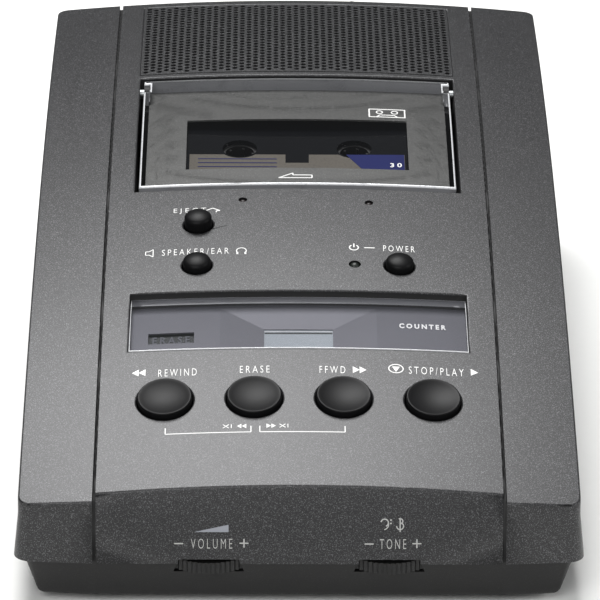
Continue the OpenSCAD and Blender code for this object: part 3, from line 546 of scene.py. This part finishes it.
BUTTON_R = 2.95
CROWN_R = 2 * BUTTON_R                  # radius of the low dome on a button
EJECT_XY, SWITCH_X, SWITCH_Y = (-21.4, -13.8), 21.5, -28.7
EJECT_UP, SWITCH_UP = 3.0, 2.2
for name, body, x, y, up, foot in (
        ("eject", "eject", *EJECT_XY, EJECT_UP, EJECT_FOOT),
        ("speaker", "speaker_switch", -SWITCH_X, SWITCH_Y, SWITCH_UP, BUTTON_FOOT),
        ("power", "power_switch", SWITCH_X, SWITCH_Y, SWITCH_UP, BUTTON_FOOT)):
    profile = [(0, up)]
    for r in (0.6, 1.2, 1.8, 2.2, 2.5):
        profile.append((r, up - CROWN_R + math.sqrt(CROWN_R ** 2 - r ** 2)))
    profile += [(2.72, up - 0.72), (2.86, up - 0.9), (2.93, up - 1.08), (BUTTON_R, up - 1.3)]
    profile += under_deck(BUTTON_R, foot)
    piece(f"{name}_cap", lathe(profile, on_deck(x, y), 72), body, KEY_ABS,
          (f"{name}_button",), 50.0)

# %% [markdown]
# ## Cassette lid
# The lid is a thick clear acrylic cover with a grey printed panel under it and a window in
# the panel. The edges of the cover are rounded, and their bright lines are a painted highlight
# in place of light that travels inside the sheet. The cover and the panel follow the same dome
# as the deck.

# %% Cassette lid
COVER_T = 2.6                           # thickness of the clear cover, mm
HINGE_END_Y = 3                         # the lower edge is rounded in front of this y, mm


def clear_sheet(name, node, body, material, width, chosen):
    """A clear sheet from the engineering mesh, its chosen edges rounded over width mm."""
    bm = cad_copy(node)
    lines = set(soften(bm, sharp_edges(bm, chosen, 40.0), width, 3))
    # Rounded faces take the painted highlight, walls the painted light grey.
    for face in bm.faces:
        wall = abs(face.normal.z) < 0.5
        face.material_index = 1 if face in lines else 2 if wall else 0
    obj = piece(name, bm, body, material, (node,), 40.0)
    obj.data.materials.append(PAINTED_EDGE_HIGHLIGHT)
    obj.data.materials.append(PAINTED_LIGHT_ACRYLIC_WALL)
    return obj


def lid_edge(p):
    """Whether an edge of the lid cover at p is eased: all round the top, front below."""
    under = near_dome(p, DECK_R - COVER_T, 0.3) and p.y < HINGE_END_Y
    return near_dome(p, DECK_R, 0.3) or under


cover_obj = clear_sheet("clear_lid_cover", "lid_cover", "lid", LID_ACRYLIC,
                        0.4, lid_edge)
true_dome(cover_obj, DECK_C, DECK_R)
panel = cad_copy("lid_mask")
panel_obj = piece("printed_lid_panel", panel, "lid", LID_PRINT, ("lid_mask",))
true_dome(panel_obj, DECK_C, DECK_R - COVER_T)

# %% [markdown]
# ## Marks: bars, arcs, shapes and letters
# Screen-printed marks are films of ink a few hundredths of a millimetre thick. Each mark is
# made flat from bars, many-sided shapes and letters, then laid on its surface by a function
# of x and y, so it follows the dome without a gap.

# %% Mark helpers
INK = 0.03                              # half the thickness of an ink film, mm


def bar(bm, x0, y0, x1, y1, width=0.25):
    """A straight printed line, cut into short lengths so that it can bend."""
    length = math.hypot(x1 - x0, y1 - y0)
    turn = Matrix.Rotation(math.atan2(y1 - y0, x1 - x0), 4, "Z")
    size = Matrix.Diagonal((length, width, 2 * INK, 1))
    made = bmesh.ops.create_cube(bm, size=1.0, matrix=Matrix.Translation(
        ((x0 + x1) / 2, (y0 + y1) / 2, 0)) @ turn @ size)["verts"]
    if length > 3:
        long_ones = [e for e in {e for v in made for e in v.link_edges}
                     if e.calc_length() > 0.8 * length]
        bmesh.ops.subdivide_edges(bm, edges=long_ones, cuts=int(length / 2), use_grid_fill=True)


def arc(bm, x, y, radius, start_deg, end_deg, width=0.25, steps=14, squeeze=1.0):
    """A printed arc made of short bars; squeeze flattens it in y."""
    points = [(x + radius * math.cos(a), y + squeeze * radius * math.sin(a))
              for a in (math.radians(start_deg + (end_deg - start_deg) * i / steps)
                        for i in range(steps + 1))]
    for (x0, y0), (x1, y1) in zip(points, points[1:]):
        bar(bm, x0, y0, x1, y1, width)


def patch(bm, *corners):
    """A flat printed area with the given corners."""
    face = bm.faces.new([bm.verts.new((x, y, -INK)) for x, y in corners])
    risen = bmesh.ops.extrude_face_region(bm, geom=[face])["geom"]
    bmesh.ops.translate(bm, verts=[g for g in risen if isinstance(g, bmesh.types.BMVert)],
                        vec=(0, 0, 2 * INK))


def letters(bm, text, x, y, cap, width, bold=0.0):
    """Plain letters centred on x, y, cap mm high and width mm wide."""
    curve = bpy.data.curves.new("letters", "FONT")
    curve.body, curve.extrude, curve.offset = text, 0.1, bold
    curve.space_character = 1.5
    curve.resolution_u = 3
    made = bpy.data.objects.new("letters", curve)
    bpy.context.scene.collection.objects.link(made)
    bpy.context.view_layer.update()
    mesh = bpy.data.meshes.new_from_object(made)
    bpy.data.objects.remove(made)
    bpy.data.curves.remove(curve)
    xs, ys = [v.co.x for v in mesh.vertices], [v.co.y for v in mesh.vertices]
    mesh.transform(Matrix.Translation((-(min(xs) + max(xs)) / 2, -(min(ys) + max(ys)) / 2, 0)))
    mesh.transform(Matrix.Diagonal((width / (max(xs) - min(xs)), cap / (max(ys) - min(ys)),
                                    INK / 0.1, 1)))
    mesh.transform(Matrix.Translation((x, y, 0)))
    bm.from_mesh(mesh)
    bpy.data.meshes.remove(mesh)


def lay(name, bm, body, ink, height=None, place=None):
    """Lay flat marks on a surface given by its height, or by a frame."""
    bmesh.ops.remove_doubles(bm, verts=bm.verts, dist=1e-4)
    bmesh.ops.recalc_face_normals(bm, faces=bm.faces)
    if height:
        for v in bm.verts:
            v.co.z += height(v.co.x, v.co.y)
    if place:
        bm.transform(place)
    return piece(name, bm, body, ink)


# %% [markdown]
# ## Marks on the lid and the label on the cassette
# The printed panel carries a plain sign for a cassette and an outlined arrow that says which
# way the cassette goes in. The cassette's paper label has ruled lines, a blue corner and the
# playing time in minutes.

# %% Marks on the lid
PANEL_R = DECK_R - COVER_T + 0.02


def lid_point(x, y, z=-2.0):
    """World x, y in mm of a point in the lid's frame."""
    world = LID @ Vector((x, y, z))
    return world.x, world.y


signs = bmesh.new()
cx, cy = 20.3, 12.6
for x0, y0, x1, y1 in ((-4, -1.9, 4, -1.9), (-4, 1.9, 4, 1.9), (-4, -2.0, -4, 2.0),
                       (4, -2.0, 4, 2.0), (-2.4, -1.9, -1.6, -0.9), (2.4, -1.9, 1.6, -0.9),
                       (-1.6, -0.9, 1.6, -0.9)):
    bar(signs, cx + x0, cy + y0, cx + x1, cy + y1, 0.32)
for x in (-1.7, 1.7):
    arc(signs, cx + x, cy + 0.45, 0.7, 0, 360, 0.3, 12)
ARROW = ((-4.1, -17.9), (-1.0, -15.9), (-1.0, -16.7), (3.2, -16.7), (3.2, -17.9), (-4.1, -17.9))
for (x0, y0), (x1, y1) in zip(ARROW, ARROW[1:]):
    bar(signs, x0, y0, x1, y1, 0.28)
for v in signs.verts:
    v.co.x, v.co.y = lid_point(v.co.x, v.co.y)
lay("lid_signs", signs, "lid", WHITE_INK_AND_HIGHLIGHT,
    lambda x, y: deck_z(x, y, PANEL_R))

# %% Label on the cassette
LABEL_TOP = -4.5 + 0.12 + INK
label_ink = bmesh.new()
patch(label_ink, (10.9, -3.5), (23.8, -3.5), (23.8, -16.2), (17.6, -16.2))
lay("label_blue_corner", label_ink, "lid", BLUE_INK,
    place=LID @ Matrix.Translation((0, 0, LABEL_TOP)))
rules = bmesh.new()
for y in (-5.5, -7.3, -9.1):
    bar(rules, -22, y, -4.5, y, 0.28)
lay("label_ruled_lines", rules, "lid", BLUE_INK,
    place=LID @ Matrix.Translation((0, 0, LABEL_TOP)))
minutes = bmesh.new()
letters(minutes, "30", 21.9, -8.3, 1.9, 2.6, 0.02)
lay("label_minutes", minutes, "lid", WHITE_INK_AND_HIGHLIGHT,
    place=LID @ Matrix.Translation((0, 0, LABEL_TOP + INK)))

# %% [markdown]
# ## Display
# Under a faintly smoked acrylic window lies a moulded grey panel. Round the counter it sinks
# like a flat funnel: two side slopes and one slope at the rear run down to the glass of the
# liquid-crystal counter. The panel starts as one flat sheet, which is cut along the lines of
# the slopes, opened for the two windows, and then given its height point by point.

# %% Display panel
LENS_TURN_X = math.asin((DECK_C.y - LENS_Y0) / DECK_R) - LENS_TIP
LENS = Matrix.Translation(LENS_PIVOT) @ Matrix.Rotation(LENS_TURN_X, 4, "X")
LENS_T = 1.8
HALF_X, LENGTH = 35.2, 19.2
FUNNEL_X, FUNNEL_Y, FUNNEL_DEPTH = 16.4, 18.2, 0.75
LCD_X, LCD_Y0, LCD_Y1 = 7.2, 0.7, 11.1
LAMP_X0, LAMP_X1, LAMP_Y0, LAMP_Y1 = -31.4, -21.8, 5.5, 9.4


def cut(bm, x, y, nx, ny, near=None):
    """Cut the faces of a flat sheet along a line through x, y."""
    faces = [f for f in bm.faces if near is None or near(f.calc_center_median())]
    geom = faces + list({e for f in faces for e in f.edges}) \
        + list({v for f in faces for v in f.verts})
    bmesh.ops.bisect_plane(bm, geom=geom, dist=1e-5, plane_co=(x, y, 0), plane_no=(nx, ny, 0))


sheet = bmesh.new()
corner = bmesh.ops.create_grid(sheet, x_segments=1, y_segments=1, size=0.5)["verts"]
bmesh.ops.scale(sheet, verts=corner, vec=(2 * HALF_X, LENGTH - 0.15, 1))
bmesh.ops.translate(sheet, verts=corner, vec=(0, (LENGTH + 0.15) / 2, 0))
for x in (LAMP_X0, LAMP_X1, -FUNNEL_X, -LCD_X, LCD_X, FUNNEL_X, -11.8, 11.8, 0, 22.6, 29, -26.6):
    cut(sheet, x, 0, 1, 0)
for y in (LCD_Y0, LCD_Y1, FUNNEL_Y, LAMP_Y0, LAMP_Y1):
    cut(sheet, 0, y, 0, 1)
run, rise = FUNNEL_X - LCD_X, FUNNEL_Y - LCD_Y1
for side in (-1, 1):
    cut(sheet, side * LCD_X, LCD_Y1, rise, -side * run,
        lambda c: LCD_X < side * c.x < FUNNEL_X and LCD_Y1 < c.y < FUNNEL_Y)
windows = [f for f in sheet.faces for c in [f.calc_center_median()]
           if (abs(c.x) < LCD_X and LCD_Y0 < c.y < LCD_Y1)
           or (LAMP_X0 < c.x < LAMP_X1 and LAMP_Y0 < c.y < LAMP_Y1)]
bmesh.ops.delete(sheet, geom=windows, context="FACES")


def funnel(x, y):
    """Depth of the funnel at x, y in the window's frame."""
    across = (FUNNEL_X - abs(x)) / run
    back = (FUNNEL_Y - y) / rise
    return FUNNEL_DEPTH * max(0.0, min(1.0, across, back))


for v in sheet.verts:
    depth = funnel(v.co.x, v.co.y)
    world = LENS @ v.co
    v.co = Vector((world.x, world.y, lens_z(world.x, world.y, -LENS_T - 0.03) - depth))
bmesh.ops.recalc_face_normals(sheet, faces=sheet.faces)
if sum(f.normal.z for f in sheet.faces) < 0:
    bmesh.ops.reverse_faces(sheet, faces=sheet.faces)
bmesh.ops.solidify(sheet, geom=list(sheet.faces), thickness=0.35)
piece("display_panel", sheet, "case", PANEL_PRINT, ("display_mask",), 2.0)

# %% Display window
window_obj = clear_sheet("display_window", "display_lens", "case", LENS_ACRYLIC,
                         0.2, lambda p: abs((p - LENS_C).length - DECK_R) < 0.1)
true_dome(window_obj, LENS_C, DECK_R)


def on_panel(up):
    """Height of a mark over the panel under the window."""
    return lambda x, y: lens_z(x, y, -LENS_T + up)


def lens_marks(bm):
    """Move flat marks from the window's frame to world x, y."""
    for v in bm.verts:
        world = LENS @ Vector((v.co.x, v.co.y, -LENS_T))
        v.co.x, v.co.y = world.x, world.y
    return bm


marks = bmesh.new()
letters(marks, "COUNTER", 26.0, 11.6, 1.8, 9.8, 0.035)
lay("display_legend", lens_marks(marks), "case", WHITE_INK_AND_HIGHLIGHT, on_panel(0.04))

unlit = bmesh.new()
letters(unlit, "ERASE", -26.6, 7.3, 2.6, 7.8, 0.02)
lay("unlit_erase_sign", lens_marks(unlit), "case", UNLIT_INK, on_panel(-0.62))
film = bmesh.new()
patch(film, (LAMP_X0, LAMP_Y0), (LAMP_X1, LAMP_Y0), (LAMP_X1, LAMP_Y1), (LAMP_X0, LAMP_Y1))
lay("erase_window_film", lens_marks(film), "case", DARK_FILM_AND_SHADOW_INK, on_panel(-0.7))
# The dark band along the top of the counter glass is a painted shadow of the window's rear edge.
LCD_IN, LCD_SHADE_Y = LCD_X - 0.1, LCD_Y1 - 1.7
shade_band = bmesh.new()
patch(shade_band, (-LCD_IN, LCD_SHADE_Y), (LCD_IN, LCD_SHADE_Y), (LCD_IN, LCD_Y1), (-LCD_IN, LCD_Y1))
lay("lcd_painted_shadow_band", lens_marks(shade_band), "case", DARK_FILM_AND_SHADOW_INK, on_panel(-1.0))
# The thin white bar near the top of the counter glass is a painted highlight on its edge.
highlight_bar = bmesh.new()
bar(highlight_bar, -LCD_IN, LCD_Y1 - 0.9, LCD_IN, LCD_Y1 - 0.9, 0.2)
lay("lcd_painted_highlight_line", lens_marks(highlight_bar), "case", WHITE_INK_AND_HIGHLIGHT, on_panel(-0.93))

# %% [markdown]
# ## Printed legends
# Plain words and signs in white ink name the keys and buttons on the deck, and light grey
# ones name the thumb wheels on the leaning front. Only general words and signs are used.

# %% Legends on the deck
def triangle(bm, x, y, width, height):
    """A filled triangle that points along x; a negative width points it back."""
    patch(bm, (x - width / 2, y - height / 2), (x + width / 2, y), (x - width / 2, y + height / 2))


legend = bmesh.new()
CAP, THIN = 2.1, -0.012                 # height of the capitals, and their thinning, mm
for word, x, y, cap, width in (("REWIND", -25.0, -63.7, CAP, 7.9),
                               ("ERASE", -9.1, -63.3, CAP, 6.1),
                               ("FFWD", 6.9, -63.4, CAP, 5.3),
                               ("STOP/PLAY", 28.3, -62.9, 2.2, 11.3),
                               ("SPEAKER/EAR", -21.9, -23.8, CAP, 14.2),
                               ("POWER", 21.5, -22.6, CAP, 6.7),
                               ("EJECT", -23.3, -8.4, CAP, 7.0)):
    letters(legend, word, x, y, cap, width, THIN)
for x, y, width in ((-33.7, -63.3, -1.4), (-32.3, -63.3, -1.4), (11.8, -63.3, 1.4),
                    (13.2, -63.3, 1.4), (36.2, -62.6, 1.5)):
    triangle(legend, x, y, width, 2.0)
arc(legend, 20.0, -62.6, 1.5, 0, 360, 0.22, 20, 0.85)
patch(legend, (19.2, -62.0), (20.8, -62.0), (20.0, -63.6))
LINE_Y, TICK_Y = -81.6, -79.9
for x0, x1 in ((-27.2, -9.8), (-8.0, 9.3)):
    bar(legend, x0, LINE_Y, x1, LINE_Y, 0.2)
    for x in (x0, x1):
        bar(legend, x, LINE_Y, x, TICK_Y, 0.2)
for side, arrows, cross in ((-1, (-12.2, -11.2), -14.9), (1, (-6.2, -5.2), -3.4)):
    for x in arrows:
        triangle(legend, x, -79.9, side * 0.9, 1.2)
    for slope in (-1, 1):
        bar(legend, cross - 0.6, -79.9 - slope * 0.5, cross + 0.6, -79.9 + slope * 0.5, 0.16)
    bar(legend, cross + 1.1, -80.4, cross + 1.1, -79.4, 0.16)
HORN = ((-32.5, -24.4), (-31.8, -24.4), (-30.9, -25.1), (-30.9, -22.5), (-31.8, -23.2),
        (-32.5, -23.2), (-32.5, -24.4))
for (x0, y0), (x1, y1) in zip(HORN, HORN[1:]):
    bar(legend, x0, y0, x1, y1, 0.18)
arc(legend, -12.1, -23.9, 1.05, -35, 215, 0.2, 12)
for x in (-12.95, -11.25):
    bar(legend, x, -25.1, x, -24.4, 0.4)
arc(legend, 11.9, -22.6, 0.95, 125, 415, 0.25, 16)
bar(legend, 11.9, -22.5, 11.9, -21.2, 0.25)
bar(legend, 14.1, -22.6, 16.3, -22.6, 0.25)
ROOF = ((-20.0, -8.6), (-18.4, -7.6), (-16.8, -8.6), (-17.6, -8.6), (-17.6, -9.2))
for (x0, y0), (x1, y1) in zip(ROOF, ROOF[1:]):
    bar(legend, x0, y0, x1, y1, 0.22)
lay("deck_legends", legend, "case", WHITE_INK_AND_HIGHLIGHT, deck_z)

# %% Legends on the leaning front
LEAN = math.atan(3.7 / 15.9)
FRONT = Matrix.Translation((0, -100, 11.6)) @ Matrix.Rotation(math.pi / 2 - LEAN, 4, "X")
front = bmesh.new()
letters(front, "VOLUME", -17.6, 4.2, 2.05, 8.3, THIN)
letters(front, "TONE", 18.8, 4.2, 2.05, 5.3, THIN)
for x in (-24.2, 14.0):
    bar(front, x - 0.9, 4.2, x + 0.9, 4.2, 0.25)
for x in (-11.1, 23.6):
    bar(front, x - 0.9, 4.3, x + 0.9, 4.3, 0.25)
    bar(front, x, 3.4, x, 5.2, 0.25)
arc(front, 17.1, 8.6, 0.75, -70, 170, 0.24, 12)
arc(front, 16.7, 8.3, 1.2, -75, 10, 0.2, 8)
for y in (8.3, 9.0):
    patch(front, (18.2, y), (18.5, y), (18.5, y + 0.3), (18.2, y + 0.3))
bar(front, 20.2, 6.7, 20.2, 9.6, 0.22)
arc(front, 20.2, 7.9, 0.7, -180, 90, 0.22, 14)
arc(front, 20.2, 8.9, 0.55, -90, 120, 0.22, 10)
lay("front_legends", front, "case", GREY_INK, place=FRONT)
wedge = bmesh.new()
patch(wedge, (-21.1, 6.6), (-14.2, 6.6), (-14.2, 8.1))
lay("volume_wedge", wedge, "case", SOFT_GREY_INK, place=FRONT)

# %% [markdown]
# ## Pieces kept from the engineering model
# The inside pieces, the thumb wheels, the feet and the sockets already have their true shape,
# so they only get their finish. The tape hubs and the cassette label get a darker colour than
# the real ones, as painted shade under the lid.

# %% Finishes of the kept pieces
FINISHES = {
    TRAY_ABS: ["volume_wheel", "tone_wheel"],
    RUBBER: ["rubber_feet", "pinch_roller", "idler_wheel", "drive_belt"],
    STEEL: ["case_screws", "deck_screws", "deck_plate", "motor", "speaker_frame",
            "head_plate", "lid_hinge_pins", "potentiometers"],
    BRIGHT_STEEL: ["flywheel", "capstan", "tape_head", "speaker_magnet"],
    BRASS: ["motor_pulley", "flywheel_bearing"],
    BOARD: ["main_board", "key_board"],
    CHIP: ["board_chips", "key_switches", "erase_head", "headphone_socket",
           "foot_control_socket", "dc_inlet"],
    SLEEVE: ["capacitors"],
    RIBBON: ["ribbon_cable"],
    CONE: ["speaker_cone"],
    # The tape hubs take the spindles' black, darker than real hubs, as painted shade under the
    # lid.
    BLACK_ACETAL_AND_PAINTED_SHADE: ["supply_spindle", "takeup_spindle", "supply_hub", "takeup_hub"],
    BLACK_ABS_AND_PAINTED_SHADE: ["cassette_holder", "lid_latch"],
    SMOKE_PS: ["cassette_top", "cassette_bottom"],
    PAPER_AND_PAINTED_SHADE: ["cassette_label"],
    TAPE: ["supply_tape", "takeup_tape"],
    LCD_GLASS: ["lcd_module"],
    RED_LENS: ["erase_lamp", "status_lamps"],
    GREEN_LENS: ["power_lamp"],
}
for finish, names in FINISHES.items():
    for name in names:
        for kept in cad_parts[name].material_slots:
            kept.material = finish
print("kept pieces:", sum(len(names) for names in FINISHES.values()))

# %% [markdown]
# ## Floor and light
# A plain pale floor, one large soft lamp overhead and a little behind the machine, which the
# front of the deck mirrors, and weak fills from the front and the sides.

# %% Floor and light
floor_bm = bmesh.new()
bmesh.ops.create_grid(floor_bm, x_segments=1, y_segments=1, size=4.0)
floor_mesh = bpy.data.meshes.new("floor")
floor_bm.to_mesh(floor_mesh)
floor_bm.free()
floor = bpy.data.objects.new("floor", floor_mesh)
bpy.context.scene.collection.objects.link(floor)
paper, paper_place = start("matt_white_studio_paper")
paper_grain = add(paper, "ShaderNodeTexNoise", {"Vector": paper_place, "Scale": 0.4})
paper_tone = add(paper, "ShaderNodeMapRange", {0: paper_grain.outputs[0], 3: 0.98, 4: 1.0})
paper_tint = add(paper, "ShaderNodeMix", {0: 1.0, 6: linear("f4f4f2"),
                                          7: paper_tone.outputs[0]},
                 data_type="RGBA", blend_type="MULTIPLY")
end(paper, add(paper, "ShaderNodeBsdfPrincipled", {"Base Color": paper_tint.outputs[2],
                                                    "Roughness": 0.9}))
floor_mesh.materials.append(paper)


def lamp(name, direction, distance, size, power, colour=(1, 1, 1)):
    """A square soft lamp that looks at the middle of the machine."""
    data = bpy.data.lights.new(name, "AREA")
    data.shape = "SQUARE"
    data.size, data.energy, data.color = size, power, colour
    obj = bpy.data.objects.new(name, data)
    aim = Vector(direction).normalized()
    obj.location = aim * distance + Vector((0, 0, 0.04))
    obj.rotation_euler = aim.to_track_quat("Z", "Y").to_euler()
    bpy.context.scene.collection.objects.link(obj)
    return obj


lamp("overhead_softbox", (-0.09, 0.37, 0.92), 1.3, 0.6, 21.5)
lamp("front_fill", (-0.3, -1.0, 0.75), 1.6, 1.0, 14.0)
lamp("side_fill", (1.0, -0.3, 0.6), 1.6, 0.8, 6.0)

world = bpy.data.worlds.new("studio")
bpy.context.scene.world = world
world.use_nodes = True
world.node_tree.nodes["Background"].inputs[0].default_value = linear("c9ccd0")
world.node_tree.nodes["Background"].inputs[1].default_value = 0.14
bpy.context.scene.view_settings.view_transform = "Standard"
